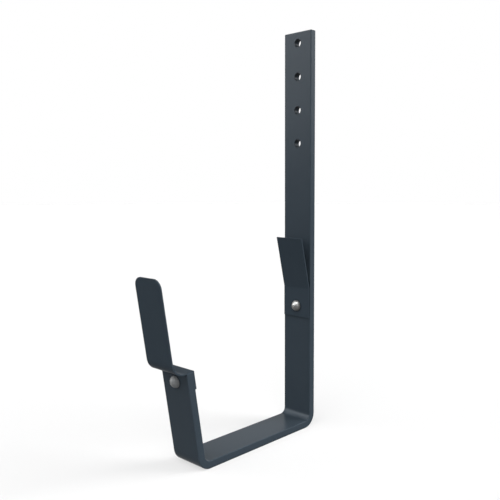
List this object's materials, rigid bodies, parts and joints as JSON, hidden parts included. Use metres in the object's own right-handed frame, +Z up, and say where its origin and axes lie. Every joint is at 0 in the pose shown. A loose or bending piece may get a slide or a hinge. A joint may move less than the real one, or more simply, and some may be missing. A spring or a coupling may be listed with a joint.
{
  "type": "gutter bracket",
  "caption": "Bent flat-bar bracket that carries a box gutter, with a row of fixing holes up its shank and two riveted sheet clips that bend over the gutter's front bead and back edge.",
  "frame": {"origin": "middle of the row of fixing holes, on the face of the shank that lies against the wall", "axes": "+X across the bar, +Y towards the wall, +Z up the shank; the gutter lies on the -Y side"},
  "size_m": [0.03, 0.1672, 0.3439],
  "materials": {
    "coated_bar": "semi-gloss dark grey powder coat on steel flat bar",
    "coated_sheet": "semi-gloss dark grey coat on steel sheet",
    "rivet_metal": "bare bright steel"
  },
  "bodies": {
    "root": {"bar": "coated_bar", "front_clip": "coated_sheet", "rear_clip": "coated_sheet", "front_rivet": "rivet_metal", "rear_rivet": "rivet_metal"}
  },
  "joints": []
}
